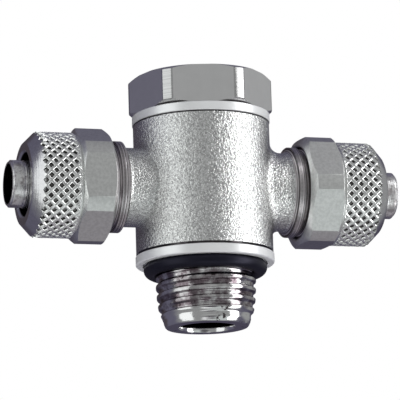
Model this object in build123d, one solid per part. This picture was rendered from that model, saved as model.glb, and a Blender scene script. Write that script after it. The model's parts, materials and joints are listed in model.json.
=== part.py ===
from build123d import *
import math
import os

# Swivel tee fitting, G 1/4 male port with two screw-nut tube ends for 8/6 mm tube.
# All sizes are in millimetres. The port axis is Z and the thread's end face lies on Z = 0.
# The tube ends point along X. The nuts, rings and seals are placed from the stem and the body.

# Port thread, a plain cylinder of the thread's major diameter
thread_d = 13.157
thread_pitch = 1.337
thread_length = 6.6
lead_length = 1.5
lead_top_d = 11.7
lead_end_d = 10.7
end_face_d = 10.4
end_edge = 0.15

# Axial passage of the stem
passage_d = 7.0
passage_mouth_chamfer = 0.25
passage_beyond_holes = 1.2
drill_point_angle = 118
cross_hole_d = 4.2
cross_hole_count = 4

# Hexagon head
head_flats = 17.0
head_height = 5.0
head_corner_cut = 0.345
head_chamfer_offset = 0.1
hexagon_chamfer_angle = 30
head_turn = 46.6

# Swivel journal and its two O-ring grooves
journal_d = 13.5
running_gap = 0.05
seal_cord_d = 1.78
seal_groove_d = 10.8
seal_groove_width = 2.4
seal_groove_from_end = 0.95
seal_gap = 0.02
waist_d = 10.6
waist_length = 8.8

# Rings above and below the body
ring_beyond_flats = 0.6
ring_thickness = 1.25
ring_edge = 0.12
ring_gap = 0.02
ring_land_step = 0.09
play_above_body = 0.15
play_below_body = 0.25

# Port seal and its seat
port_seal_cord_d = 2.0
port_seal_rim = 0.9
port_seal_recess = 0.45
port_seal_recess_gap = 0.1
port_seal_bore_gap = 0.05
relief_length = 1.7

# Tee body
eye_inside_ring = 0.1
eye_height = 17.1
eye_bore_chamfer = 0.3
neck_d = 10.4
neck_length = 2.5
neck_fillet = 1.5
collar_d = 12.0
collar_width = 0.95
flare_radius = 0.8

# Tube end of the body: M12 x 1 male thread, seat cone and nozzle
arm_thread_d = 12.0
arm_thread_pitch = 1.0
arm_thread_length = 5.15
arm_relief_length = 0.9
arm_thread_chamfer = 0.4
seat_cone_d = 10.2
seat_cone_angle = 45
nozzle_d = 6.2
nozzle_length = 8.7
nozzle_tip_length = 1.5
nozzle_groove_width = 0.35
nozzle_groove_depth = 0.2
nozzle_lip_radius = 0.22
arm_bore_d = 5.2

# Tube nut
nut_length = 11.1
nut_flats = 14.0
nut_corner_cut = 0.513
nut_hexagon_width = 4.2
nut_back_wall = 0.4
nut_shoulder_step = 0.25
nut_shoulder_width = 0.18
nut_thread_gap = 0.05
nut_thread_depth = 5.6
nut_entry_chamfer = 0.25
nut_clamp_start = 6.0
nut_clamp_d = 11.2
nut_mouth_d = 8.3
nut_mouth_chamfer = 0.3
nut_nose_d = 10.8
left_nut_gap = 0.75
right_nut_gap = 0.4
left_nut_turn = 29.4
right_nut_turn = 0.0

# Diamond knurl of the nut
knurl_d = 13.8
knurl_depth = 0.45
knurl_count = 32

# Levels along the port axis, built up from the end face of the thread
ring_seat_z = thread_length + relief_length
lower_ring_top_z = ring_seat_z + ring_thickness
eye_bottom_z = lower_ring_top_z + play_below_body
arm_z = eye_bottom_z + eye_height / 2
eye_top_z = eye_bottom_z + eye_height
upper_ring_bottom_z = eye_top_z + play_above_body
head_bottom_z = upper_ring_bottom_z + ring_thickness
head_top_z = head_bottom_z + head_height

# Diameters of the barrel, built up from the spanner size of the head
head_corner_d = head_flats / math.cos(math.radians(30)) - 2 * head_corner_cut
head_chamfer_start_d = head_flats + 2 * head_chamfer_offset
ring_d = head_flats + 2 * ring_beyond_flats
eye_d = ring_d - 2 * eye_inside_ring
port_seal_d = ring_d - 2 * (port_seal_rim + port_seal_recess_gap)

# Distances of a tube end's steps from the port axis, built up from the side of the eye
collar_start = eye_d / 2 + neck_length
collar_end = collar_start + collar_width
arm_thread_end = collar_end + arm_thread_length
nozzle_end = arm_thread_end + nozzle_length
left_nut_back = collar_end + left_nut_gap
right_nut_back = collar_end + right_nut_gap

# Radii and depths that follow from the sizes above
journal_r = journal_d / 2
eye_bore_r = journal_r + running_gap
ring_land_r = journal_r - ring_land_step
thread_depth = 0.6403 * thread_pitch
arm_thread_depth = 0.6134 * arm_thread_pitch
seal_z = [
    eye_bottom_z + seal_groove_from_end + seal_groove_width / 2,
    eye_top_z - seal_groove_from_end - seal_groove_width / 2,
]
port_seal_r = (port_seal_d - port_seal_cord_d) / 2
port_seal_z = ring_seat_z + port_seal_recess - port_seal_cord_d / 2 - seal_gap
relief_r = port_seal_r - port_seal_cord_d / 2 - port_seal_bore_gap

# Nut, built up from its spanner size and from its back face
chamfer_rise = math.tan(math.radians(hexagon_chamfer_angle))
nut_corner_d = nut_flats / math.cos(math.radians(30)) - 2 * nut_corner_cut
nut_shoulder_d = nut_flats - 2 * nut_shoulder_step
nut_thread_bore_d = arm_thread_d + 2 * nut_thread_gap
nut_back_d = nut_thread_bore_d + 2 * nut_back_wall
nut_hexagon_front = nut_hexagon_width + (nut_corner_d - nut_shoulder_d) / 2 * chamfer_rise
knurl_start = nut_hexagon_front + nut_shoulder_width
knurl_end = nut_length - (knurl_d - nut_nose_d) / 2
knurl_row_height = math.pi * knurl_d / knurl_count / 2
knurl_rows = math.ceil((knurl_end + knurl_depth - knurl_start) / knurl_row_height)


def turned(points):
    """Revolve a closed outline of (radius, height) points about Z."""
    outline = make_face(Polyline(*points, close=True))
    return revolve(Plane.XZ * outline, Axis.Z)


def rod(diameter, bottom, top):
    """A cylinder about Z between two heights."""
    return Pos(0, 0, bottom) * Cylinder(
        diameter / 2, top - bottom, align=(Align.CENTER, Align.CENTER, Align.MIN)
    )


def chamfered_hexagon(flats, corner_d, bottom, top, bottom_d, top_d):
    """A hexagon bar with its corners turned to corner_d and both ends chamfered."""
    corner_r = corner_d / 2
    bar = Pos(0, 0, bottom) * extrude(
        RegularPolygon(flats / 2, 6, major_radius=False, rotation=0), top - bottom
    )
    turning = turned(
        [
            (0, bottom),
            (bottom_d / 2, bottom),
            (corner_r, bottom + (corner_r - bottom_d / 2) * chamfer_rise),
            (corner_r, top - (corner_r - top_d / 2) * chamfer_rise),
            (top_d / 2, top),
            (0, top),
        ]
    )
    return bar & turning


# Stem

def stem_outline():
    """Half section of the stem below its head, from the thread's end face upwards."""
    lead_step = (thread_d - lead_top_d) / 2
    groove_half = seal_groove_width / 2
    waist_half = waist_length / 2
    low, high = seal_z
    return [
        (0, 0),
        (end_face_d / 2, 0),
        (lead_end_d / 2, end_edge),
        (lead_top_d / 2, lead_length),
        (thread_d / 2, lead_length + lead_step),
        (thread_d / 2, thread_length - thread_depth / 2),
        (relief_r, thread_length),
        (relief_r, ring_seat_z + port_seal_recess),
        (ring_land_r, ring_seat_z + port_seal_recess),
        (ring_land_r, lower_ring_top_z),
        (journal_r, lower_ring_top_z),
        (journal_r, low - groove_half),
        (seal_groove_d / 2, low - groove_half),
        (seal_groove_d / 2, low + groove_half),
        (journal_r, low + groove_half),
        (journal_r, arm_z - waist_half),
        (waist_d / 2, arm_z - waist_half),
        (waist_d / 2, arm_z + waist_half),
        (journal_r, arm_z + waist_half),
        (journal_r, high - groove_half),
        (seal_groove_d / 2, high - groove_half),
        (seal_groove_d / 2, high + groove_half),
        (journal_r, high + groove_half),
        (journal_r, head_bottom_z),
        (0, head_bottom_z),
    ]


def make_stem():
    """Hollow bolt: hexagon head, swivel journal with seal grooves and waist, port thread."""
    head = chamfered_hexagon(
        head_flats, head_corner_d, head_bottom_z, head_top_z,
        head_chamfer_start_d, head_chamfer_start_d,
    )
    bolt = turned(stem_outline()) + Rot(0, 0, head_turn) * head
    passage_r = passage_d / 2
    passage_end = arm_z + cross_hole_d / 2 + passage_beyond_holes
    point = passage_r / math.tan(math.radians(drill_point_angle / 2))
    mouth_r = passage_r + passage_mouth_chamfer
    bolt -= turned(
        [
            (0, 0),
            (mouth_r, 0),
            (passage_r, passage_mouth_chamfer),
            (passage_r, passage_end),
            (0, passage_end + point),
        ]
    )
    for i in range(cross_hole_count):
        hole = Rot(0, 90, 0) * rod(cross_hole_d, 0, waist_d)
        bolt -= Pos(0, 0, arm_z) * Rot(0, 0, i * 360 / cross_hole_count) * hole
    return bolt


# Rings and seals

def make_ring(bottom, bore_r):
    """Flat turned ring with broken outer edges."""
    top = bottom + ring_thickness
    outer_r = ring_d / 2
    return turned(
        [
            (bore_r, bottom),
            (outer_r - ring_edge, bottom),
            (outer_r, bottom + ring_edge),
            (outer_r, top - ring_edge),
            (outer_r - ring_edge, top),
            (bore_r, top),
        ]
    )


def make_lower_ring():
    """Lower ring, pressed on its land, with a recess that holds the port seal."""
    recess_r = port_seal_d / 2 + port_seal_recess_gap
    recess = rod(2 * recess_r, ring_seat_z, ring_seat_z + port_seal_recess)
    return make_ring(ring_seat_z, ring_land_r + ring_gap) - recess


def make_port_seal():
    """O-ring that seals the fitting on the face of the port."""
    section = Pos(port_seal_r, port_seal_z) * Circle(port_seal_cord_d / 2)
    return revolve(Plane.XZ * section, Axis.Z)


def make_stem_seal(z):
    """O-ring squeezed between its groove and the bore of the body."""
    inner_r = seal_groove_d / 2 + seal_gap
    height = journal_r - seal_gap / 2 - inner_r
    cord_area = math.pi * seal_cord_d ** 2 / 4
    corner = 0.45 * height
    width = (cord_area + (4 - math.pi) * corner ** 2) / height
    section = Pos(inner_r + height / 2, z) * RectangleRounded(height, width, corner)
    return revolve(Plane.XZ * section, Axis.Z)


# Tee body

def arm_outline():
    """Half section of one tube end as (radius, distance from the port axis)."""
    thread_start = collar_end + arm_relief_length
    seat_run = (seat_cone_d - nozzle_d) / 2 / math.tan(math.radians(seat_cone_angle))
    tip_start = nozzle_end - nozzle_tip_length
    groove_start = tip_start - nozzle_groove_width
    groove_r = nozzle_d / 2 - nozzle_groove_depth
    thread_r = arm_thread_d / 2
    return [
        (collar_d / 2, collar_start),
        (collar_d / 2, collar_end),
        (thread_r - arm_thread_depth, collar_end),
        (thread_r - arm_thread_depth, thread_start - arm_thread_chamfer),
        (thread_r, thread_start),
        (thread_r, arm_thread_end - arm_thread_chamfer),
        (thread_r - arm_thread_chamfer, arm_thread_end),
        (seat_cone_d / 2, arm_thread_end),
        (nozzle_d / 2, arm_thread_end + seat_run),
        (nozzle_d / 2, groove_start),
        (groove_r, groove_start),
        (groove_r, tip_start),
        (nozzle_d / 2, tip_start),
        (nozzle_d / 2, nozzle_end - nozzle_lip_radius),
    ]


def make_arm():
    """One tube end, turned about Z and solid, with the flare that joins neck and collar."""
    flare_rise = (collar_d - neck_d) / 2
    reach = math.sqrt(flare_radius ** 2 - (flare_radius - flare_rise) ** 2)
    flare_start = collar_start - reach
    flare = RadiusArc(
        (neck_d / 2, flare_start), (collar_d / 2, collar_start), flare_radius
    )
    lip = RadiusArc(
        (nozzle_d / 2, nozzle_end - nozzle_lip_radius),
        (nozzle_d / 2 - nozzle_lip_radius, nozzle_end),
        nozzle_lip_radius,
    )
    root = Polyline((0, nozzle_end), (0, 0), (neck_d / 2, 0), (neck_d / 2, flare_start))
    side = Polyline(*arm_outline())
    face = Line((nozzle_d / 2 - nozzle_lip_radius, nozzle_end), (0, nozzle_end))
    outline = make_face([root, flare, side, lip, face])
    return revolve(Plane.XZ * outline, Axis.Z)


def make_body():
    """Forged tee body: upright eye, two tube ends and their bores."""
    eye = rod(eye_d, eye_bottom_z, eye_top_z)
    arm = Pos(0, 0, arm_z) * Rot(0, 90, 0) * make_arm()
    body = eye + arm + mirror(arm, Plane.YZ)
    roots = [
        e for e in body.edges().filter_by(GeomType.CIRCLE, reverse=True)
        if abs(e.center().X) < eye_d / 2 and e.length > neck_d
    ]
    body = fillet(roots, neck_fillet)
    bore_mouth_r = eye_bore_r + eye_bore_chamfer
    body -= turned(
        [
            (0, eye_bottom_z),
            (bore_mouth_r, eye_bottom_z),
            (eye_bore_r, eye_bottom_z + eye_bore_chamfer),
            (eye_bore_r, eye_top_z - eye_bore_chamfer),
            (bore_mouth_r, eye_top_z),
            (0, eye_top_z),
        ]
    )
    body -= Pos(0, 0, arm_z) * Rot(0, 90, 0) * rod(arm_bore_d, -nozzle_end, nozzle_end)
    return body


# Tube nuts

def knurl_point(row, step):
    """A corner of the knurl's net: ridge crossings and pit bottoms take turns."""
    angle = math.pi * step / knurl_count
    radius = knurl_d / 2
    if (row + step) % 2:
        radius -= knurl_depth
    return Vector(
        radius * math.cos(angle),
        radius * math.sin(angle),
        knurl_start + row * knurl_row_height,
    )


def triangle(a, b, c):
    """A flat three-sided face."""
    return Face(Wire.make_polygon([a, b, c], close=True))


def make_knurl():
    """Knurled barrel: crossing ridges at 45 degrees with a four-sided pit in each mesh."""
    steps = 2 * knurl_count
    faces = []
    for row in range(knurl_rows):
        for step in range(steps):
            a = knurl_point(row, step)
            b = knurl_point(row, step + 1)
            c = knurl_point(row + 1, step + 1)
            d = knurl_point(row + 1, step)
            if (row + step) % 2:
                faces += [triangle(a, b, d), triangle(b, c, d)]
            else:
                faces += [triangle(a, b, c), triangle(a, c, d)]
    for row in (0, knurl_rows):
        rim = [knurl_point(row, step) for step in range(steps)]
        faces.append(Face(Wire.make_polygon(rim, close=True)))
    return Solid(Shell(faces))


def make_nut():
    """Tube nut about Z, its back face on Z = 0 and its mouth at nut_length."""
    knurl_r = knurl_d / 2
    nose_r = nut_nose_d / 2
    hexagon = chamfered_hexagon(
        nut_flats, nut_corner_d, 0, nut_hexagon_front, nut_back_d, nut_shoulder_d
    )
    shoulder = rod(nut_shoulder_d, nut_hexagon_front, knurl_start)
    turning = turned(
        [
            (0, knurl_start),
            (knurl_r, knurl_start),
            (knurl_r, knurl_end),
            (nose_r, nut_length),
            (0, nut_length),
        ]
    )
    core_r = knurl_r - knurl_depth
    core = turned(
        [
            (0, knurl_start),
            (core_r - knurl_depth, knurl_start),
            (core_r - knurl_depth, knurl_end + knurl_depth),
            (core_r, knurl_end + knurl_depth),
            (nose_r, nut_length),
            (0, nut_length),
        ]
    )
    barrel = make_knurl() & turning
    nut = hexagon + shoulder + core + barrel
    thread_r = nut_thread_bore_d / 2
    clamp_r = nut_clamp_d / 2
    mouth_r = nut_mouth_d / 2
    clamp_run = (clamp_r - mouth_r) / math.tan(math.radians(seat_cone_angle))
    return nut - turned(
        [
            (0, 0),
            (thread_r + nut_entry_chamfer, 0),
            (thread_r, nut_entry_chamfer),
            (thread_r, nut_thread_depth),
            (clamp_r, nut_clamp_start),
            (mouth_r, nut_clamp_start + clamp_run),
            (mouth_r, nut_length - nut_mouth_chamfer),
            (mouth_r + nut_mouth_chamfer, nut_length),
            (0, nut_length),
        ]
    )


def place_nut(nut, side, back, turn):
    """Put a nut on the left (-1) or right (1) tube end, one corner turned down by turn."""
    start = Rot(0, 0, -90 + side * turn) * nut
    return Pos(side * back, 0, arm_z) * Rot(0, side * 90, 0) * start


# Write each piece

nut = make_nut()
pieces = {
    "stem_bolt": make_stem(),
    "upper_ring": make_ring(upper_ring_bottom_z, eye_bore_r),
    "lower_ring": make_lower_ring(),
    "port_seal": make_port_seal(),
    "lower_stem_seal": make_stem_seal(seal_z[0]),
    "upper_stem_seal": make_stem_seal(seal_z[1]),
    "tee_body": make_body(),
    "left_nut": place_nut(nut, -1, left_nut_back, left_nut_turn),
    "right_nut": place_nut(nut, 1, right_nut_back, right_nut_turn),
}

os.makedirs("parts", exist_ok=True)
for name, piece in pieces.items():
    export_step(piece, f"parts/{name}.step")
    print(name, round(piece.volume, 2), "mm3")
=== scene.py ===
# %% [markdown]
# # Swivel tee fitting
#
# A nickel-plated brass fitting for air tube: a hollow hexagon bolt, a blasted tee body that turns
# on it, two bright rings, a black O-ring, and a knurled nut on each tube end. The solids come
# packed from the CAD model, and this lesson gives them their threads, knurls and finishes.

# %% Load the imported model
import json
import math

import bmesh
import bpy
from mathutils import Matrix, Vector


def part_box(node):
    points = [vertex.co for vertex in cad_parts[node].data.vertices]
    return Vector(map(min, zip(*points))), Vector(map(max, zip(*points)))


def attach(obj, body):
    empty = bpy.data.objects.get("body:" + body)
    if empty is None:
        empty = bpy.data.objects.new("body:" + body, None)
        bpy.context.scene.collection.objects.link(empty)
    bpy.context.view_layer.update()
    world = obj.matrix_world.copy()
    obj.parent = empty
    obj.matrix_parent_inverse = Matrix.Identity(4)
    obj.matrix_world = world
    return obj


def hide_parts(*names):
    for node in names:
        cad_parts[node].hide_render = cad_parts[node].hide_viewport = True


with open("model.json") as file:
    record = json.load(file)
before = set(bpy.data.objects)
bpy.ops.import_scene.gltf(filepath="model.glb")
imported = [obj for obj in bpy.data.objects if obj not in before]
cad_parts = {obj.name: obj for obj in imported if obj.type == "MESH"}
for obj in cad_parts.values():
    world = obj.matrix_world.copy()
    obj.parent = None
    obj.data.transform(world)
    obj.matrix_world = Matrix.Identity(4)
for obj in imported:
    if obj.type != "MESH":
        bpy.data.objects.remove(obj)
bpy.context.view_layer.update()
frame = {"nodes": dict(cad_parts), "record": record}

MM = 0.001


def level(node, end):
    """The lowest (0) or highest (1) level of a CAD node, in mm."""
    return round(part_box(node)[end].z / MM, 3)


EYE_BOTTOM, EYE_TOP = level("tee_body", 0), level("tee_body", 1)
ARM_LEVEL = (EYE_BOTTOM + EYE_TOP) / 2
ARM_Z = ARM_LEVEL * MM
print("eye from", EYE_BOTTOM, "to", EYE_TOP, "mm, tube ends at", ARM_LEVEL)

# %% [markdown]
# ## The camera
#
# The picture was taken with a long lens from below, so the fitting looks tall and its end faces
# stay narrow. The camera is worked out from four facts: how far it is turned round the fitting,
# how far below it stands, its roll and its distance. The lens follows from the picture's scale.

# %% Camera
PHOTO_SIDE = 400
PHOTO_SCALE = 7.6 / MM
SENSOR = 36.0
CAMERA_AZIMUTH = -16.8
CAMERA_ELEVATION = -12.0
CAMERA_ROLL = -1.8
CAMERA_DISTANCE = 420 * MM
CAMERA_SHIFT_RIGHT = -0.38 * MM
CAMERA_SHIFT_UP = -1.31 * MM
NEAREST, FARTHEST = 0.01, 20


def towards(azimuth, elevation):
    """Unit vector from the fitting. Azimuth 0 is the front, and it grows to the right."""
    azimuth, elevation = math.radians(azimuth), math.radians(elevation)
    return Vector((
        math.sin(azimuth) * math.cos(elevation),
        -math.cos(azimuth) * math.cos(elevation),
        math.sin(elevation),
    ))


camera_back = towards(CAMERA_AZIMUTH, CAMERA_ELEVATION)
level_right = towards(CAMERA_AZIMUTH + 90, 0)
camera_right = Matrix.Rotation(math.radians(CAMERA_ROLL), 3, camera_back) @ level_right
camera_up = camera_back.cross(camera_right)

camera_data = bpy.data.cameras.new("photo_camera")
camera_data.sensor_width = SENSOR
camera_data.lens = PHOTO_SCALE * CAMERA_DISTANCE * SENSOR / PHOTO_SIDE
camera_data.clip_start, camera_data.clip_end = NEAREST, FARTHEST
camera = bpy.data.objects.new("photo_camera", camera_data)
camera.matrix_world = Matrix((camera_right, camera_up, camera_back)).transposed().to_4x4()
camera.location = (
    Vector((0, 0, ARM_Z))
    + camera_back * CAMERA_DISTANCE
    + camera_right * CAMERA_SHIFT_RIGHT
    + camera_up * CAMERA_SHIFT_UP
)
bpy.context.scene.collection.objects.link(camera)
bpy.context.scene.camera = camera
bpy.context.scene.view_settings.view_transform = "Standard"
print("lens", round(camera_data.lens, 1), "mm, right", [round(v, 4) for v in camera_right])

# %% [markdown]
# ## Shapes made on a lathe
#
# Nearly every face of the fitting is turned, so nearly every mesh starts as an outline that is spun
# round the Z axis. A full spin uses use_merge, so that its last copy closes on the first. Points on
# the axis all meet in one pole once the doubles are merged.

# %% Spin an outline
MERGE_DISTANCE = 1e-7


def column_of(bm, points):
    """An open chain of (radius, height) points, in mm, in the XZ plane."""
    verts = [bm.verts.new((radius * MM, 0, height * MM)) for radius, height in points]
    return verts + [bm.edges.new(pair) for pair in zip(verts, verts[1:])]


def spin_outline(bm, points, steps):
    """Spin an outline once round the Z axis."""
    bmesh.ops.spin(
        bm, geom=column_of(bm, points), cent=(0, 0, 0), axis=(0, 0, 1), dvec=(0, 0, 0),
        angle=2 * math.pi, steps=steps, use_merge=True, use_duplicate=False,
    )
    bmesh.ops.remove_doubles(bm, verts=bm.verts, dist=MERGE_DISTANCE)


def turn_about_z(bm, degrees):
    """Turn everything about the Z axis."""
    turn = Matrix.Rotation(math.radians(degrees), 3, "Z")
    bmesh.ops.rotate(bm, cent=(0, 0, 0), matrix=turn, verts=bm.verts)


# %% [markdown]
# ## Milled hexagons
#
# A spanner hexagon is a turned blank with six flats milled on it. The blank's 30 degree chamfers
# give each flat its curved ends, and the blank's own diameter stays as a narrow strip on each
# corner. Cutting the blank with six planes does the same, so the curves come out right by
# themselves. Each cut is closed with one flat face, and its border gets a fine bevel.

# %% Mill six flats and soften their edges
SNAP_DISTANCE = 2e-6
SHARP_DEGREES = 20


def mill_flats(bm, flats_mm, first_degrees):
    """Cut six flats at the given width across flats, and close each with one face."""
    for side in range(6):
        angle = math.radians(first_degrees + 60 * side)
        normal = Vector((math.cos(angle), math.sin(angle), 0))
        cut = bmesh.ops.bisect_plane(
            bm, geom=bm.verts[:] + bm.edges[:] + bm.faces[:], dist=SNAP_DISTANCE,
            plane_co=normal * flats_mm / 2 * MM, plane_no=normal, clear_outer=True,
        )
        rim = [e for e in cut["geom_cut"] if isinstance(e, bmesh.types.BMEdge)]
        bmesh.ops.contextual_create(bm, geom=rim)
    print("milled", flats_mm, "mm across flats, faces", len(bm.faces))


def sharp_edges(bm, low_mm, high_mm, inner_mm):
    """Sharp edges between two heights and outside a radius."""
    found = []
    for e in bm.edges:
        if len(e.link_faces) != 2 or e.calc_face_angle() < math.radians(SHARP_DEGREES):
            continue
        if all(
            low_mm * MM <= v.co.z <= high_mm * MM
            and math.hypot(v.co.x, v.co.y) >= inner_mm * MM for v in e.verts
        ):
            found.append(e)
    return found


def soften(bm, edges, width_mm):
    """Break edges with a fine bevel."""
    print("softened edges", len(edges), "by", width_mm, "mm")
    bmesh.ops.bevel(
        bm, geom=edges, offset=width_mm * MM, offset_type="OFFSET", affect="EDGES",
        segments=2, profile=0.5, material=-1, clamp_overlap=True, loop_slide=True,
    )


# %% [markdown]
# ## Drilled and pressed shapes
#
# The bolt's cross holes and the nuts' knurl take material out of a finished blank. There are no
# bmesh operators for that, so a Boolean modifier subtracts one closed shell from another, and its
# result is read back. The exact solver keeps both shells closed.

# %% Cut one closed shell out of another
def cut_away(bm, cutter):
    """Boolean difference of two bmeshes. Both are freed, and the result is a new one."""
    helpers = []
    for name, shell in (("blank", bm), ("cutter", cutter)):
        mesh = bpy.data.meshes.new(name)
        shell.to_mesh(mesh)
        shell.free()
        helper = bpy.data.objects.new(name, mesh)
        bpy.context.scene.collection.objects.link(helper)
        helpers.append(helper)
    blank, tool = helpers
    cut = blank.modifiers.new("cut", "BOOLEAN")
    cut.object = tool
    cut.operation = "DIFFERENCE"
    cut.solver = "EXACT"
    bpy.context.view_layer.update()
    remains = bpy.data.meshes.new_from_object(
        blank.evaluated_get(bpy.context.evaluated_depsgraph_get())
    )
    result = bmesh.new()
    result.from_mesh(remains)
    for helper in helpers:
        mesh = helper.data
        bpy.data.objects.remove(helper)
        bpy.data.meshes.remove(mesh)
    bpy.data.meshes.remove(remains)
    print("faces after the cut", len(result.faces))
    return result


# %% [markdown]
# ## Finishing a mesh
#
# A finished piece is one closed shell with its faces pointing outwards. Weighted normals keep the
# large flats truly flat in the light, although they are shaded smoothly into their fine bevels.

# %% Turn a bmesh into a piece
NORMAL_WEIGHT = 80


def make_piece(bm, name, body, replaced, smooth_degrees, place=None):
    """Link the finished mesh as an object that stands for a CAD node."""
    bmesh.ops.remove_doubles(bm, verts=bm.verts, dist=MERGE_DISTANCE)
    bmesh.ops.recalc_face_normals(bm, faces=bm.faces)
    if place is not None:
        bmesh.ops.transform(bm, matrix=place, verts=bm.verts)
    open_edges = sum(1 for e in bm.edges if len(e.link_faces) != 2)
    mesh = bpy.data.meshes.new(name)
    bm.to_mesh(mesh)
    bm.free()
    mesh.shade_smooth()
    mesh.set_sharp_from_angle(angle=math.radians(smooth_degrees))
    piece = bpy.data.objects.new(name, mesh)
    bpy.context.scene.collection.objects.link(piece)
    weigh = piece.modifiers.new("weighted_normals", "WEIGHTED_NORMAL")
    weigh.keep_sharp = True
    weigh.weight = NORMAL_WEIGHT
    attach(piece, body)
    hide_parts(replaced)
    triangles = sum(len(p.vertices) - 2 for p in mesh.polygons)
    print(name, "triangles", triangles, "open edges", open_edges)
    return piece


# %% [markdown]
# ## The port thread
#
# The real thread is cut on the bolt's end, with rounded crests and roots, and fades out in a short
# smooth lead. A helix comes from spinning one tooth's outline with a step along the axis, so that
# each turn ends where the next one starts. The outline is spun with radii from 1 to 2 mm, and each
# point is then moved to that share of the way from the roots' envelope to the crests' envelope. The
# two envelopes meet at both ends, which gives the lead and the run-out under the seal. The thread
# starts a whole number of steps round, so that its columns meet those of the bolt's other spins.

# %% Sizes of the port thread
BOLT_STEPS = 144
THREAD_PITCH = 1.337
THREAD_CREST_R = frame["record"]["mounts"][0]["dims"]["r_mm"]
END_R, END_EDGE = 5.46, 0.12
RELIEF_R, THREAD_TOP = 6.05, 7.2
TOOTH_POINTS = 16
TOOTH_FULLNESS = 2.4
SPARE_TURNS = 3
THREAD_START_STEPS = 51

crest_line = [
    (END_EDGE, END_R), (0.5, 5.64), (0.9, 5.76), (1.3, 5.86), (1.6, 6.06), (2.3, 6.28),
    (3.6, 6.46), (5.2, 6.56), (5.9, THREAD_CREST_R), (6.7, 6.55), (6.9, 6.45),
    (THREAD_TOP, RELIEF_R),
]
root_line = [
    (END_EDGE, END_R), (0.5, 5.62), (0.9, 5.70), (1.3, 5.76), (2.3, 6.00), (3.6, 6.14),
    (5.2, 6.24), (6.7, 6.26), (THREAD_TOP, RELIEF_R),
]
print("thread pitch", THREAD_PITCH, "mm, crest radius", THREAD_CREST_R, "mm")


def read_off(line, height):
    """Straight-line reading of a line of (height, radius) points."""
    for (h0, r0), (h1, r1) in zip(line, line[1:]):
        if height <= h1:
            return r0 + (r1 - r0) * (height - h0) / (h1 - h0)
    return line[-1][1]


# %% Cut the helical thread
def tooth_outline():
    """One rounded tooth, with its root at 1 mm and its crest at 2 mm, two pitches too low."""
    points = []
    for i in range(TOOTH_POINTS + 1):
        wave = math.cos(2 * math.pi * i / TOOTH_POINTS)
        swell = math.tanh(TOOTH_FULLNESS * wave) / math.tanh(TOOTH_FULLNESS)
        points.append((1 + (1 + swell) / 2, END_EDGE + THREAD_PITCH * (i / TOOTH_POINTS - 2)))
    return points


def add_port_thread(bm):
    """A right-hand thread skin between its two end circles."""
    turns = math.ceil((THREAD_TOP - END_EDGE) / THREAD_PITCH) + SPARE_TURNS
    bmesh.ops.spin(
        bm, geom=column_of(bm, tooth_outline()), cent=(0, 0, 0), axis=(0, 0, 1),
        dvec=(0, 0, THREAD_PITCH * MM / BOLT_STEPS), angle=2 * math.pi * turns,
        steps=BOLT_STEPS * turns, use_merge=False, use_duplicate=False,
    )
    turn_about_z(bm, 360 * THREAD_START_STEPS / BOLT_STEPS)
    for v in bm.verts:
        flat = Vector((v.co.x, v.co.y, 0))
        height = min(max(v.co.z / MM, END_EDGE), THREAD_TOP)
        root, crest = read_off(root_line, height), read_off(crest_line, height)
        v.co = flat.normalized() * (root + (crest - root) * (flat.length / MM - 1)) * MM
        v.co.z = height * MM
    bmesh.ops.remove_doubles(bm, verts=bm.verts, dist=SNAP_DISTANCE)
    bmesh.ops.dissolve_degenerate(bm, edges=bm.edges, dist=MERGE_DISTANCE)


# %% [markdown]
# ## The hollow bolt
#
# One bar holds the whole fitting together: hexagon head, journal with two seal grooves, a waist
# with four cross holes for the air, and the port thread. The lathe work is two spins that share
# the thread's end circles. The head is milled, and the cross holes are drilled last with a Boolean,
# one rod at a time, so that the cutter never crosses itself.

# %% Sizes of the hollow bolt
HEAD_FLATS, HEAD_TURN, HEAD_CORNER_CUT = 17.0, 46.6, 0.345
HEAD_CORNER_R = HEAD_FLATS / 2 / math.cos(math.radians(30)) - HEAD_CORNER_CUT
HEAD_CHAMFER_R = HEAD_FLATS / 2 + 0.1
CHAMFER_RISE = math.tan(math.radians(30))
HEAD_CHAMFER = (HEAD_CORNER_R - HEAD_CHAMFER_R) * CHAMFER_RISE
HEAD_BOTTOM, HEAD_TOP = level("upper_ring", 1), level("stem_bolt", 1)
HEAD_EDGE, EDGE_SLACK = 0.07, 0.01
BOLT_SMOOTH_DEGREES = 32
SEAL_RECESS = 0.45
LAND_BOTTOM, LAND_TOP = level("lower_ring", 0) + SEAL_RECESS, level("lower_ring", 1)
LAND_R, JOURNAL_R = 6.66, 6.75
GROOVE_R, GROOVE_WIDTH, GROOVE_FROM_END = 5.4, 2.4, 0.95
WAIST_R, WAIST_LENGTH = 5.3, 8.8
CROSS_HOLE_R, CROSS_HOLE_FACETS, CROSS_DRILL_LENGTH = 2.1, 48, 12.0
PASSAGE_R, MOUTH_WIDENING, MOUTH_DEPTH = 3.5, 0.3, 0.6
PASSAGE_SPARE, DRILL_HALF_ANGLE = 1.2, 59
PASSAGE_END = ARM_LEVEL + CROSS_HOLE_R + PASSAGE_SPARE
DRILL_POINT = PASSAGE_R / math.tan(math.radians(DRILL_HALF_ANGLE))


def recess(bottom, top, radius):
    """Four outline points that cut a recess into the journal."""
    return [(JOURNAL_R, bottom), (radius, bottom), (radius, top), (JOURNAL_R, top)]


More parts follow.
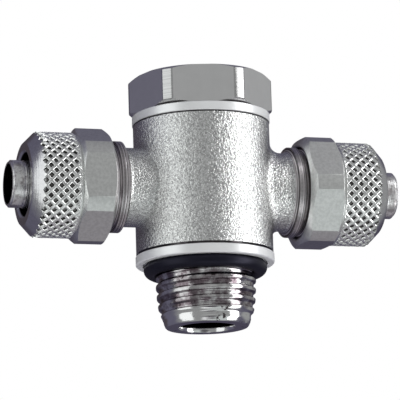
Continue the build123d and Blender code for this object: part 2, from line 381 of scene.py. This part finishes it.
low_groove = EYE_BOTTOM + GROOVE_FROM_END
high_groove = EYE_TOP - GROOVE_FROM_END
passage_side = [
    (0, PASSAGE_END + DRILL_POINT), (PASSAGE_R, PASSAGE_END), (PASSAGE_R, MOUTH_DEPTH),
    (PASSAGE_R + MOUTH_WIDENING, 0), (END_R - END_EDGE, 0), (END_R, END_EDGE),
]
journal_side = [
    (RELIEF_R, THREAD_TOP), (RELIEF_R, LAND_BOTTOM), (LAND_R, LAND_BOTTOM), (LAND_R, LAND_TOP),
    (JOURNAL_R, LAND_TOP),
    *recess(low_groove, low_groove + GROOVE_WIDTH, GROOVE_R),
    *recess(ARM_LEVEL - WAIST_LENGTH / 2, ARM_LEVEL + WAIST_LENGTH / 2, WAIST_R),
    *recess(high_groove - GROOVE_WIDTH, high_groove, GROOVE_R),
    (JOURNAL_R, HEAD_BOTTOM), (HEAD_CHAMFER_R, HEAD_BOTTOM),
    (HEAD_CORNER_R, HEAD_BOTTOM + HEAD_CHAMFER), (HEAD_CORNER_R, HEAD_TOP - HEAD_CHAMFER),
    (HEAD_CHAMFER_R, HEAD_TOP), (0, HEAD_TOP),
]
print("head from", HEAD_BOTTOM, "to", HEAD_TOP, "mm, passage up to", round(PASSAGE_END, 2), "mm")

# %% Turn and mill the bolt
bm = bmesh.new()
add_port_thread(bm)
spin_outline(bm, passage_side, BOLT_STEPS)
spin_outline(bm, journal_side, BOLT_STEPS)
bmesh.ops.remove_doubles(bm, verts=bm.verts, dist=SNAP_DISTANCE)
bmesh.ops.recalc_face_normals(bm, faces=bm.faces)
mill_flats(bm, HEAD_FLATS, 0)
head_edges = sharp_edges(
    bm, HEAD_BOTTOM - EDGE_SLACK, HEAD_TOP + EDGE_SLACK, HEAD_FLATS / 2 - EDGE_SLACK
)
soften(bm, head_edges, HEAD_EDGE)
turn_about_z(bm, HEAD_TURN + 30)


# %% Drill the cross holes
def cross_drill(turn_degrees):
    """A rod right through the waist, which leaves two radial holes."""
    drill = bmesh.new()
    lay = Matrix.Rotation(math.pi / 2, 4, "Y")
    bmesh.ops.create_cone(
        drill, cap_ends=True, segments=CROSS_HOLE_FACETS, radius1=CROSS_HOLE_R * MM,
        radius2=CROSS_HOLE_R * MM, depth=CROSS_DRILL_LENGTH * MM,
        matrix=Matrix.Translation((0, 0, ARM_Z)) @ lay,
    )
    turn_about_z(drill, turn_degrees)
    return drill


for turn_degrees in (0, 90):
    bm = cut_away(bm, cross_drill(turn_degrees))
hollow_bolt = make_piece(
    bm, "hollow_bolt", "stem", "stem_bolt", BOLT_SMOOTH_DEGREES
)

# %% [markdown]
# ## The knurled nuts
#
# Each nut is turned from bar, milled to a 14 mm hexagon at its back, and given a diamond knurl:
# ridges cross at 45 degrees and leave a four-sided pit in each mesh. The last row of pits opens on
# the edge of the nose cone, as it does where a knurl is chamfered. So the pits are made as a net of
# small closed plugs, and a Boolean takes them all out of the turned blank at once. The net is a
# spun grid of half pitches. Joining every second corner splits each cell along a ridge, and
# dissolving the corners in between leaves the diamonds. Each plug tapers in steps, which rounds the
# ridges.

# %% Sizes of the nut
NUT_STEPS = 192
NUT_FLATS, NUT_CORNER_CUT = 14.0, 0.513
NUT_CORNER_R = NUT_FLATS / 2 / math.cos(math.radians(30)) - NUT_CORNER_CUT
NUT_BACK_R, NUT_SHOULDER_R, NUT_NOSE_R = 6.45, 6.75, 5.4
NUT_BORE_R, NUT_BORE_DEPTH, NUT_ENTRY = 6.05, 5.6, 0.25
CLAMP_R, CLAMP_START = 5.6, 6.0
NUT_MOUTH_R, NUT_MOUTH_EDGE = 4.15, 0.3
NUT_LENGTH = 11.1
NUT_EDGE = 0.055
NUT_SMOOTH_DEGREES = 28
HEX_BACK = (NUT_CORNER_R - NUT_BACK_R) * CHAMFER_RISE
HEX_FRONT = 4.2
SHOULDER_START = HEX_FRONT + (NUT_CORNER_R - NUT_SHOULDER_R) * CHAMFER_RISE
KNURL_R, KNURL_EDGE, SHOULDER_WIDTH = 6.9, 0.04, 0.18
KNURL_COUNT, KNURL_ROWS = 32, 8
KNURL_START = SHOULDER_START + SHOULDER_WIDTH
KNURL_END = NUT_LENGTH - (KNURL_R - NUT_NOSE_R)
ROW_HEIGHT = math.pi * KNURL_R / KNURL_COUNT

nut_side = [
    (KNURL_R, KNURL_END), (KNURL_R, KNURL_START + KNURL_EDGE), (KNURL_R - KNURL_EDGE, KNURL_START),
    (NUT_SHOULDER_R, KNURL_START), (NUT_SHOULDER_R, SHOULDER_START), (NUT_CORNER_R, HEX_FRONT),
    (NUT_CORNER_R, HEX_BACK), (NUT_BACK_R, 0), (NUT_BORE_R + NUT_ENTRY, 0), (NUT_BORE_R, NUT_ENTRY),
    (NUT_BORE_R, NUT_BORE_DEPTH), (CLAMP_R, CLAMP_START),
    (NUT_MOUTH_R, CLAMP_START + CLAMP_R - NUT_MOUTH_R), (NUT_MOUTH_R, NUT_LENGTH - NUT_MOUTH_EDGE),
    (NUT_MOUTH_R + NUT_MOUTH_EDGE, NUT_LENGTH), (NUT_NOSE_R - 0.05, NUT_LENGTH),
    (NUT_NOSE_R + 0.02, NUT_LENGTH - 0.03), (KNURL_R, KNURL_END),
]
print("knurl from", round(KNURL_START, 2), "to", round(KNURL_END, 2), "mm")

# %% Lay out the net of diamonds
NOSE_ROW_DROP = 0.15


def knurl_net():
    """A barrel of diamonds, with half diamonds along its back end."""
    points = []
    for row in range(KNURL_ROWS + 1):
        drop = NOSE_ROW_DROP * max(0, row - KNURL_ROWS + 2)
        points.append((KNURL_R - drop, KNURL_START + row * ROW_HEIGHT))
    bm = bmesh.new()
    spin_outline(bm, points, 2 * KNURL_COUNT)

    def between(v):
        row = round((v.co.z / MM - KNURL_START) / ROW_HEIGHT)
        step = round(math.atan2(v.co.y, v.co.x) * KNURL_COUNT / math.pi)
        return (row + step) % 2 == 1

    bmesh.ops.connect_verts(bm, verts=[v for v in bm.verts if not between(v)])
    bmesh.ops.dissolve_verts(bm, verts=[v for v in bm.verts if between(v) and not v.is_boundary])
    last_row = (KNURL_START + (KNURL_ROWS - 0.5) * ROW_HEIGHT) * MM
    half_diamonds = [f for f in bm.faces if f.calc_center_median().z > last_row]
    bmesh.ops.delete(bm, geom=half_diamonds, context="FACES")
    bmesh.ops.recalc_face_normals(bm, faces=bm.faces)
    return bm


# %% Make a plug of each diamond
RIDGE_HALF = 0.04
PLUG_HEAD = 0.25
PIT_STEPS = [(0.07, 0.015), (0.07, 0.05), (0.06, 0.11), (0.06, 0.20)]
EDGE_PIT_STEPS = [(0.05, 0.015), (0.05, 0.05), (0.05, 0.09), (0.05, 0.08)]


def taper(bm, faces, steps):
    """Push faces inwards in steps of (narrowing, depth)."""
    for width, depth in steps:
        bmesh.ops.inset_individual(
            bm, faces=faces, thickness=width * MM, depth=depth * MM, use_even_offset=True
        )


def knurl_plugs():
    """One closed plug for each pit, its head outside the barrel and its point inside."""
    bm = knurl_net()
    rims = bmesh.ops.inset_individual(
        bm, faces=bm.faces[:], thickness=RIDGE_HALF * MM, depth=0, use_even_offset=True
    )["faces"]
    bmesh.ops.delete(bm, geom=rims, context="FACES")
    heads = bmesh.ops.extrude_discrete_faces(bm, faces=bm.faces[:])["faces"]
    for head in heads:
        out = head.calc_center_median()
        out.z = 0
        bmesh.ops.translate(bm, vec=out.normalized() * PLUG_HEAD * MM, verts=head.verts[:])
    feet = bmesh.ops.holes_fill(bm, edges=[e for e in bm.edges if e.is_boundary], sides=0)["faces"]
    bmesh.ops.recalc_face_normals(bm, faces=bm.faces)
    first_row = (KNURL_START + 0.7 * ROW_HEIGHT) * MM
    edge_feet = [f for f in feet if f.calc_center_median().z < first_row]
    full_feet = [f for f in feet if f.calc_center_median().z >= first_row]
    taper(bm, full_feet, PIT_STEPS)
    taper(bm, edge_feet, EDGE_PIT_STEPS)
    print("knurl: full pits", len(full_feet), "edge pits", len(edge_feet))
    return bm


# %% Turn, mill and knurl one nut about the Z axis
def build_nut():
    """The whole nut: its back on Z = 0, its mouth up."""
    bm = bmesh.new()
    spin_outline(bm, nut_side, NUT_STEPS)
    turn_about_z(bm, 180 / NUT_STEPS)
    mill_flats(bm, NUT_FLATS, 30)
    lowest, highest, innermost = HEX_BACK - 0.5, HEX_FRONT + 0.3, KNURL_R + 0.02
    soften(bm, sharp_edges(bm, lowest, highest, innermost), NUT_EDGE)
    bmesh.ops.recalc_face_normals(bm, faces=bm.faces)
    return cut_away(bm, knurl_plugs())


# %% Put a nut on each tube end
NUTS = {"left_nut": (-1, 29.4), "right_nut": (1, 0.0)}


def back_of(node):
    """The side of a nut, -1 for the left and 1 for the right, and where its back face lies."""
    low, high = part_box(node)
    side = NUTS[node][0]
    return side, (high.x if side < 0 else low.x)


def place_nut(name, node):
    """Lay a new nut on its tube end, where the CAD nut is."""
    side, back = back_of(node)
    turn = math.radians(side * NUTS[node][1] - 90)
    place = (
        Matrix.Translation((back, 0, ARM_Z))
        @ Matrix.Rotation(math.radians(90 * side), 4, "Y")
        @ Matrix.Rotation(turn, 4, "Z")
    )
    return make_piece(build_nut(), name, node, node, NUT_SMOOTH_DEGREES, place)


left_tube_nut = place_nut("left_tube_nut", "left_nut")
right_tube_nut = place_nut("right_tube_nut", "right_nut")

# %% [markdown]
# ## Nickel finishes
#
# Every metal piece is the same bright nickel plate, and the finishes differ only in what lies under
# it: turning lines, milled flats, or the fine dimples of a blasted forging. So one class starts
# each finish and gives short names to the few nodes they share. The patterns read Object
# coordinates, so they stay in place when a body turns.

# %% Short names for nodes
class Nodes:
    """A node tree, with a short method for each kind of node that this fitting needs."""

    def __init__(self, tree):
        self.tree = tree

    def put(self, value, socket):
        """Link a socket to another one, or give it a plain value."""
        if isinstance(value, bpy.types.NodeSocket):
            self.tree.links.new(value, socket)
        else:
            socket.default_value = value

    def add(self, kind, settings=None, inputs=None):
        """A new node's outputs. Its inputs are given by name or number."""
        node = self.tree.nodes.new(kind)
        for key, value in (settings or {}).items():
            setattr(node, key, value)
        for key, value in (inputs or {}).items():
            self.put(value, node.inputs[key])
        return node.outputs

    def calc(self, operation, a, b=0.0):
        return self.add("ShaderNodeMath", {"operation": operation}, {0: a, 1: b})[0]

    def both(self, a, b):
        """A product: for masks, where both of them hold."""
        return self.calc("MULTIPLY", a, b)

    def inverse(self, mask):
        return self.calc("SUBTRACT", 1.0, mask)

    def step(self, value, low, high):
        """0 below low, 1 above high, smooth between them."""
        smooth = {"interpolation_type": "SMOOTHSTEP"}
        return self.add("ShaderNodeMapRange", smooth, {0: value, 1: low, 2: high})[0]

    def blend(self, factor, a, b):
        """A number between a and b."""
        return self.add("ShaderNodeMix", {"data_type": "FLOAT"}, {0: factor, 2: a, 3: b})[0]

    def tint(self, factor, a, b):
        """A colour between a and b."""
        inputs = {0: factor}
        for number, value in ((6, a), (7, b)):
            linked = isinstance(value, bpy.types.NodeSocket)
            inputs[number] = value if linked else (*value, 1)
        return self.add("ShaderNodeMix", {"data_type": "RGBA"}, inputs)[2]


# %% A finish for one piece
class Finish(Nodes):
    """A material that starts as bare metal, with its surface's place on the piece."""

    def __init__(self, name, metallic=1.0):
        self.material = bpy.data.materials.new(name)
        self.material.use_nodes = True
        super().__init__(self.material.node_tree)
        self.shader = self.tree.nodes["Principled BSDF"].inputs
        self.shader["Metallic"].default_value = metallic
        self.place = self.add("ShaderNodeTexCoord")["Object"]
        self.x, self.y, self.z = self.add("ShaderNodeSeparateXYZ", inputs={0: self.place})

    def beyond(self, length, low_mm, high_mm):
        """A mask that rises from 0 to 1 between two lengths in mm."""
        return self.step(length, low_mm * MM, high_mm * MM)

    def distance(self, a, b):
        """Distance from an axis."""
        squares = self.calc("ADD", self.both(a, a), self.both(b, b))
        return self.calc("SQRT", squares)

    def noise(self, per_metre, detail, roughness, at=None):
        at = self.place if at is None else at
        settings = {"Vector": at, "Scale": per_metre, "Detail": detail, "Roughness": roughness}
        return self.add("ShaderNodeTexNoise", inputs=settings)[0]

    def turning_lines(self, radius, height, per_metre):
        """Noise that changes only along the outline, so it runs round as tool marks do."""
        outline = self.add("ShaderNodeCombineXYZ", inputs={0: radius, 1: height})[0]
        return self.noise(per_metre, 1.0, 0.5, outline)

    def relief(self, height, strength, depth_mm):
        """Bump of the given depth."""
        settings = {"Height": height, "Strength": strength, "Distance": depth_mm * MM}
        self.put(self.add("ShaderNodeBump", inputs=settings)[0], self.shader["Normal"])

    def done(self, tone, roughness):
        """Give the shader its tone and roughness, and hand over the material."""
        self.put(tone, self.shader["Base Color"])
        self.put(roughness, self.shader["Roughness"])
        print("finish", self.material.name, "with", len(self.tree.nodes), "nodes")
        return self.material


# %% [markdown]
# ## The blasted body
#
# The forged body was blasted with fine grit before plating, so its skin is a dense field of tiny
# bright dimples about a third of a millimetre apart. As geometry they would take millions of faces,
# so two sizes of noise make them in bump, and the same noise paints their light and shade into the
# tone. The collars at the necks' ends are turned, with dark lines of painted reflection, and so are
# the nozzles, whose bore is painted dark as shade. One material holds them all, told apart by the
# distance from the port axis.

# %% Blasted nickel with turned ends
COLLAR_START = (11.05, 11.25)
COLLAR_END = (13.5, 14.5)
NOZZLE_BORE_R = 2.6


def blasted_nickel():
    body = Finish("blasted_nickel")
    reach = body.calc("ABSOLUTE", body.x)
    radius = body.distance(body.y, body.calc("SUBTRACT", body.z, ARM_Z))
    turned = body.beyond(reach, *COLLAR_START)
    collar = body.both(turned, body.inverse(body.beyond(reach, *COLLAR_END)))
    # Painted shade: the inside of the nozzle's bore is painted nearly black.
    bore_shade = body.inverse(body.beyond(radius, NOZZLE_BORE_R + 0.02, NOZZLE_BORE_R + 0.10))
    grain = body.noise(3300.0, 2.0, 0.65)
    grit = body.noise(7000.0, 1.0, 0.5)
    lines = body.turning_lines(radius, body.x, 9000.0)
    dimples = body.calc("ADD", grain, body.both(grit, 0.3))
    body.relief(body.blend(turned, dimples, body.both(lines, 0.25)), 1.0, 0.14)

    # Painted light and shade: the tone follows the bump's noise, lighter where the relief stands
    # high and darker where it sinks.
    hollows, specks = body.step(grain, 0.35, 0.60), body.step(grit, 0.38, 0.62)
    painted_dimple_shading = body.calc("ADD", body.both(hollows, 0.5), body.both(specks, 0.5))
    blasted = body.tint(painted_dimple_shading, (0.52, 0.52, 0.52), (0.98, 0.99, 0.98))
    marks = body.step(body.noise(1100.0, 4.0, 0.7), 0.34, 0.56)
    nozzle = body.tint(marks, (0.50, 0.47, 0.48), (0.98, 0.98, 0.98))
    # Painted reflection: the collar's turning lines are painted dark and brownish, as if they
    # mirrored the dark room.
    painted_dark_reflection = body.tint(body.step(lines, 0.44, 0.56), (0.06, 0.045, 0.05), (0.90, 0.86, 0.88))
    tone = body.tint(turned, blasted, body.tint(collar, nozzle, painted_dark_reflection))
    tone = body.tint(bore_shade, tone, (0.02, 0.018, 0.016))
    return body.done(tone, body.blend(turned, 0.18, 0.28))


# %% [markdown]
# ## The rings
#
# The two flat rings are turned bright and look nearly white next to the body. A fine line of
# painted shadow shows where each one meets its neighbours. It is far too narrow for geometry, so
# the material is painted dark at those levels.

# %% Bright turned rings
UPPER_FACE = level("upper_ring", 0)


def ring_nickel():
    ring = Finish("ring_nickel", metallic=0.45)
    lines = ring.turning_lines(ring.distance(ring.x, ring.y), ring.z, 6000.0)
    cloud = ring.noise(500.0, 2.0, 0.5)
    ring.relief(ring.calc("ADD", lines, ring.both(cloud, 0.8)), 0.25, 0.05)

    # Painted shadow: thin dark lines at the levels where the rings meet the head and the eye.
    upper = ring.beyond(ring.z, EYE_BOTTOM, EYE_BOTTOM + 0.1)
    under_head = ring.beyond(ring.z, HEAD_BOTTOM - 0.06, HEAD_BOTTOM)
    over_eye = ring.inverse(ring.beyond(ring.z, UPPER_FACE + 0.01, UPPER_FACE + 0.09))
    under_eye = ring.beyond(ring.z, LAND_TOP - 0.08, LAND_TOP - 0.02)
    outer_joint_shadow = ring.calc("MAXIMUM", under_head, ring.both(under_eye, ring.inverse(upper)))
    joint_shadow = ring.calc("MAXIMUM", ring.both(over_eye, upper), outer_joint_shadow)
    tone = ring.tint(joint_shadow, (0.97, 0.98, 0.98), (0.10, 0.09, 0.10))
    return ring.done(tone, ring.blend(cloud, 0.28, 0.38))


# %% [markdown]
# ## The bolt's surface
#
# The bolt's head is milled and left satin, with bright streaks on its turned corners. Its thread is
# as smooth as the die left it, and noise makes its grooves darker and browner in patches, with a
# few black specks. The patches could be painted on a UV map, but a noise that is masked by radius
# stays in
# the grooves by itself: whatever lies below a sloping line under the crests is a groove.

# %% Milled and threaded nickel
CORNER_STRIP = (9.36, 9.40)
GROOVE_LINE_R, GROOVE_LINE_SLOPE = 6.13, 0.075
FIRST_GROOVE = (1.5, 2.2)


def bolt_nickel():
    bolt = Finish("bolt_nickel")
    radius = bolt.distance(bolt.x, bolt.y)
    head = bolt.beyond(bolt.z, HEAD_BOTTOM - 0.3, HEAD_BOTTOM - 0.1)
    shank = bolt.inverse(head)
    corner = bolt.beyond(radius, *CORNER_STRIP)
    lines = bolt.turning_lines(radius, bolt.z, 6000.0)
    cloud = bolt.noise(700.0, 3.0, 0.6)
    bolt.relief(bolt.calc("ADD", bolt.both(lines, 0.5), cloud), 0.2, 0.04)

    milled = bolt.tint(cloud, (0.76, 0.76, 0.76), (0.84, 0.84, 0.84))
    streaks = bolt.tint(lines, (0.40, 0.40, 0.40), (0.70, 0.70, 0.70))
    tone = bolt.tint(bolt.both(head, corner), milled, streaks)
    # Noise makes the grooves darker and browner in patches, and leaves a few black specks.
    groove_line = bolt.calc("ADD", GROOVE_LINE_R * MM, bolt.both(bolt.z, GROOVE_LINE_SLOPE))
    groove = bolt.beyond(bolt.calc("SUBTRACT", groove_line, radius), -0.10, 0.02)
    groove = bolt.both(groove, bolt.beyond(bolt.z, *FIRST_GROOVE))
    patch_noise = bolt.noise(620.0, 4.0, 0.7)
    dark_groove_patches = bolt.both(groove, bolt.step(patch_noise, 0.30, 0.58))
    tone = bolt.tint(bolt.both(shank, dark_groove_patches), tone, (0.20, 0.16, 0.18))
    specks = bolt.both(shank, bolt.step(patch_noise, 0.60, 0.66))
    tone = bolt.tint(specks, tone, (0.07, 0.055, 0.06))
    # Painted shade: the passage inside the bolt is painted dark.
    bore_shade = bolt.inverse(bolt.beyond(radius, PASSAGE_R + 0.02, PASSAGE_R + 0.10))
    tone = bolt.tint(bolt.both(bore_shade, shank), tone, (0.10, 0.09, 0.085))
    return bolt.done(tone, bolt.blend(head, 0.13, bolt.blend(corner, 0.34, 0.22)))


# %% [markdown]
# ## The nuts' surface
#
# The nuts have satin flats, a satin nose with fine turning lines, and bright ridges over dark pits.
# The pits are real hollows, and their shade is painted into the tone by radius, so it needs no
# pattern of its own. The turning lines are shallow, so they only streak the reflections.

# %% Knurled nickel
SHOULDER_EDGE = (4.6, 4.75)
RIDGE_SIDES = (6.53, 6.80)
BORE_FADE = (7.5, 7.6)


def nut_nickel(name, node):
    side, back = back_of(node)
    nut = Finish(name)
    along = nut.both(nut.calc("SUBTRACT", nut.x, back), float(side))
    radius = nut.distance(nut.y, nut.calc("SUBTRACT", nut.z, ARM_Z))
    turned = nut.beyond(along, *SHOULDER_EDGE)
    lines = nut.turning_lines(radius, along, 7000.0)
    cloud = nut.noise(700.0, 3.0, 0.6)
    nut.relief(nut.calc("ADD", lines, cloud), 0.25, 0.04)

    scuffs = nut.noise(2600.0, 3.0, 0.6)
    satin = nut.tint(nut.step(scuffs, 0.3, 0.7), (0.72, 0.73, 0.72), (0.86, 0.87, 0.86))
    # Painted shade: the pits are painted dark below the ridges' sides, and the ridges stay bright
    # nickel.
    ridge = nut.beyond(radius, *RIDGE_SIDES)
    pit_shade = nut.tint(ridge, (0.16, 0.155, 0.15), (0.98, 0.99, 0.98))
    knurled = nut.both(turned, nut.inverse(nut.beyond(along, KNURL_END - 0.1, KNURL_END)))
    nose = nut.beyond(along, KNURL_END + 0.1, KNURL_END + 0.3)
    nose_tone = nut.tint(scuffs, (0.56, 0.56, 0.57), (0.82, 0.82, 0.83))
    outside = nut.tint(nose, nut.tint(knurled, satin, pit_shade), nose_tone)
    # Painted shade: the mouth and the bore inside the nut are painted dark.
    mouth = nut.inverse(nut.beyond(radius, NUT_MOUTH_R + 0.03, NUT_MOUTH_R + 0.11))
    bore = nut.both(
        nut.inverse(nut.beyond(radius, NUT_BORE_R + 0.05, NUT_BORE_R + 0.15)),
        nut.inverse(nut.beyond(along, *BORE_FADE)),
    )
    tone = nut.tint(nut.calc("MAXIMUM", mouth, bore), outside, (0.07, 0.065, 0.06))
    return nut.done(tone, nut.blend(turned, 0.32, 0.2))


# %% [markdown]
# ## Rubber seals
#
# The O-ring under the lower ring is smooth black nitrile with a soft bluish sheen. A faint cloud of
# noise keeps its surface from looking like plastic.

# %% Black rubber
def seal_rubber():
    rubber = Finish("seal_rubber", metallic=0.0)
    rubber.shader["Specular IOR Level"].default_value = 0.35
    rubber.shader["Specular Tint"].default_value = (0.72, 0.70, 1.0, 1)
    cloud = rubber.noise(900.0, 3.0, 0.6)
    rubber.relief(cloud, 0.15, 0.04)
    tone = rubber.tint(cloud, (0.003, 0.003, 0.006), (0.006, 0.006, 0.012))
    return rubber.done(tone, rubber.blend(cloud, 0.30, 0.46))


# %% [markdown]
# ## Dressing the pieces
#
# The new bolt and nuts and the nodes that stay as CAD made them each get one material. The rings
# share theirs, and so do the seals.

# %% Dress every piece
def dress(piece, material):
    piece.data.materials.clear()
    piece.data.materials.append(material)


dress(frame["nodes"]["tee_body"], blasted_nickel())
dress(hollow_bolt, bolt_nickel())
dress(left_tube_nut, nut_nickel("left_nut_nickel", "left_nut"))
dress(right_tube_nut, nut_nickel("right_nut_nickel", "right_nut"))
rings, rubber = ring_nickel(), seal_rubber()
for node in ("upper_ring", "lower_ring"):
    dress(frame["nodes"][node], rings)
for node in ("port_seal", "lower_stem_seal", "upper_stem_seal"):
    dress(frame["nodes"][node], rubber)
print("materials", len(bpy.data.materials))

# %% [markdown]
# ## The room
#
# Bright metal shows the room more than itself, so the room is designed by what each face should
# mirror. It is mid grey in front, and dark and slightly violet behind. On top of that, each face
# that matters finds a soft round patch of its own tone where it looks. A lamp for each face could
# do the same, but every lamp would also light all the others. The camera itself sees plain white
# behind the fitting.

# %% The room's tones by direction
FRONT_TONE = (0.30, 0.305, 0.305)
ROOM = [
    # azimuth from the camera, elevation, full within, gone by (degrees), tone: what mirrors it
    (180, 15, 80, 110, (0.125, 0.12, 0.165)),  # the back and the ceiling
    (4, 14, 12, 32, (0.385, 0.39, 0.39)),  # front flat of the head
    (-115, 12, 18, 40, (0.13, 0.125, 0.175)),  # left flat of the head
    (-152, 12, 16, 32, (0.07, 0.06, 0.07)),  # left edges of the eye and rings
    (127, 12, 14, 34, (0.34, 0.345, 0.345)),  # right flat of the head
    (61, 66, 15, 35, (0.27, 0.27, 0.28)),  # upper flat of the right nut
    (150, -67, 16, 34, (0.285, 0.27, 0.29)),  # lower flat of the left nut
    (40, -45, 18, 38, (0.57, 0.605, 0.60)),  # lower flat of the right nut
    (0, -49, 8, 16, (1.0, 1.0, 1.02)),  # edges and flanks that face 30 degrees down
    (180, -12, 15, 40, (0.07, 0.064, 0.095)),  # end face of the thread
    (12, -27, 8, 22, (0.11, 0.105, 0.115)),  # lead of the thread
]


def build_world():
    world = bpy.data.worlds.new("studio_room")
    world.use_nodes = True
    world.node_tree.nodes.clear()
    room = Nodes(world.node_tree)
    direction = room.add("ShaderNodeTexCoord")["Generated"]
    tone = FRONT_TONE
    for azimuth, elevation, inner, outer, patch_tone in ROOM:
        aim = towards(CAMERA_AZIMUTH + azimuth, elevation)
        closeness = room.add(
            "ShaderNodeVectorMath", {"operation": "DOT_PRODUCT"}, {0: direction, 1: aim}
        )["Value"]
        patch = room.step(
            closeness, math.cos(math.radians(outer)), math.cos(math.radians(inner))
        )
        tone = room.tint(patch, tone, patch_tone)
    lit = room.add("ShaderNodeBackground", inputs={"Color": tone})[0]
    paper = room.add("ShaderNodeBackground", inputs={"Color": (1, 1, 1, 1)})[0]
    seen = room.add("ShaderNodeLightPath")["Is Camera Ray"]
    choice = room.add("ShaderNodeMixShader", inputs={0: seen, 1: lit, 2: paper})[0]
    room.add("ShaderNodeOutputWorld", inputs={"Surface": choice})
    bpy.context.scene.world = world
    print("room patches", len(ROOM), "nodes", len(room.tree.nodes))


build_world()

# %% [markdown]
# ## Softboxes
#
# A tall white strip stands to the right and a broader, softer box to the left. The strip makes the
# narrow white band down the body and lights the head's right corner. The box brightens the left
# halves of the rings. Both are near area lights, because their edges then bend over curved metal as
# a real softbox's do. The camera doesn't see them.

# %% Softboxes
LIGHT_DISTANCE = 0.4


def softbox(name, azimuth, elevation, width, height, radiance, colour):
    """A rectangular soft light that faces the fitting. Sizes in metres, angles from the camera."""
    lamp = bpy.data.lights.new(name, "AREA")
    lamp.shape = "RECTANGLE"
    lamp.size, lamp.size_y = width, height
    lamp.energy = radiance * math.pi * width * height
    lamp.color = colour
    light = bpy.data.objects.new(name, lamp)
    ray = towards(CAMERA_AZIMUTH + azimuth, elevation)
    light.location = Vector((0, 0, ARM_Z)) + ray * LIGHT_DISTANCE
    light.rotation_euler = ray.to_track_quat("Z", "Y").to_euler()
    light.visible_camera = False
    bpy.context.scene.collection.objects.link(light)
    print(name, round(lamp.energy, 2), "W")


softbox("right_strip", 78, 4, 0.19, 0.90, 3.1, (1, 1, 1))
softbox("left_box", -58, 4, 0.28, 0.80, 0.86, (0.97, 1.0, 0.99))

# %% [markdown]
# ## The floor
#
# The floor is pale paper, lit through like a light table, which lifts the white of the rings. The
# metal doesn't mirror it, and in the picture it lies below the camera's view, because the picture
# looks up at the fitting.

# %% Floor
FLOOR_Z = -0.12
FLOOR_HALF = 3
PAPER = {
    "Base Color": (0.85, 0.85, 0.86, 1), "Metallic": 0.0, "Roughness": 0.9,
    "Emission Color": (1.0, 1.0, 1.0, 1), "Emission Strength": 0.45,
}

paper = bpy.data.materials.new("floor_paper")
paper.use_nodes = True
for socket, value in PAPER.items():
    paper.node_tree.nodes["Principled BSDF"].inputs[socket].default_value = value
floor_bm = bmesh.new()
bmesh.ops.create_grid(
    floor_bm, x_segments=2, y_segments=2, size=FLOOR_HALF,
    matrix=Matrix.Translation((0, 0, FLOOR_Z)),
)
floor_mesh = bpy.data.meshes.new("studio_floor")
floor_bm.to_mesh(floor_mesh)
floor_bm.free()
floor = bpy.data.objects.new("studio_floor", floor_mesh)
bpy.context.scene.collection.objects.link(floor)
floor.visible_glossy = False
dress(floor, paper)
print("floor at", FLOOR_Z / MM, "mm")
